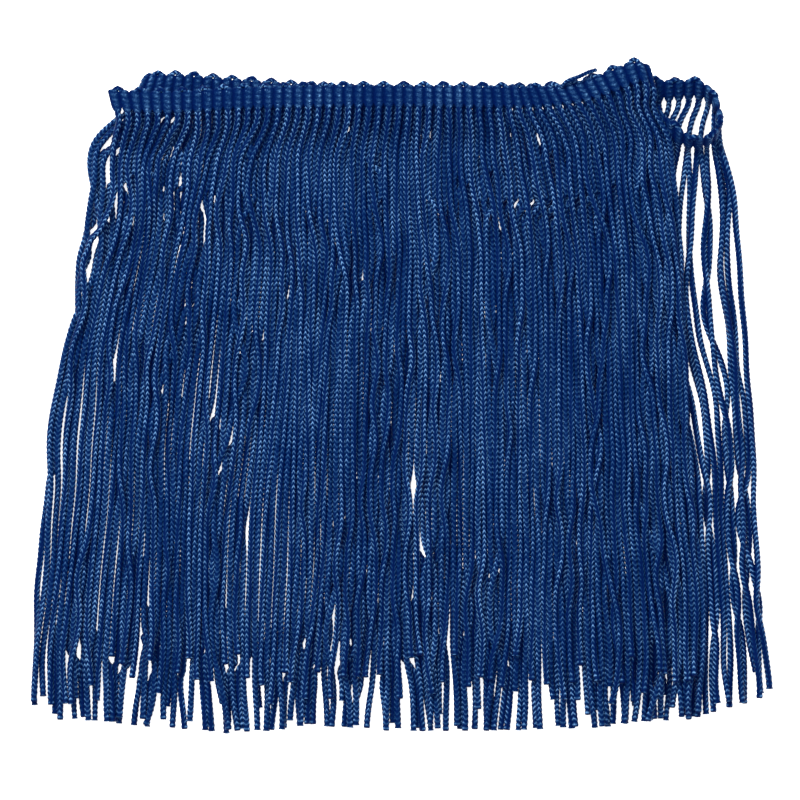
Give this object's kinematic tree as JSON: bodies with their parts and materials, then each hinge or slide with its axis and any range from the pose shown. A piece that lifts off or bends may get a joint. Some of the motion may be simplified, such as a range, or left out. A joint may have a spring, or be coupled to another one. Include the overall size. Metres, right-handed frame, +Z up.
{
  "type": "chainette fringe trim",
  "caption": "Cut length of chainette fringe trim: a ribbed woven heading with soft knitted cords, folded back and forth and laid flat.",
  "frame": {"origin": "on the surface that the folded trim lies on, under the middle of its bounding box", "axes": "+X along the heading, +Y from the cord ends towards the heading, +Z up from the surface"},
  "size_m": [0.184, 0.1686, 0.0104],
  "materials": {
    "heading_yarn": "matte woven yarn, navy blue",
    "chainette": "silky knitted rayon cord, navy blue"
  },
  "bodies": {
    "root": {"heading": "heading_yarn", "fringe_run_1": "chainette", "fringe_run_2": "chainette", "fringe_run_3": "chainette", "fringe_run_4": "chainette", "yarn_end": "heading_yarn"}
  },
  "joints": []
}
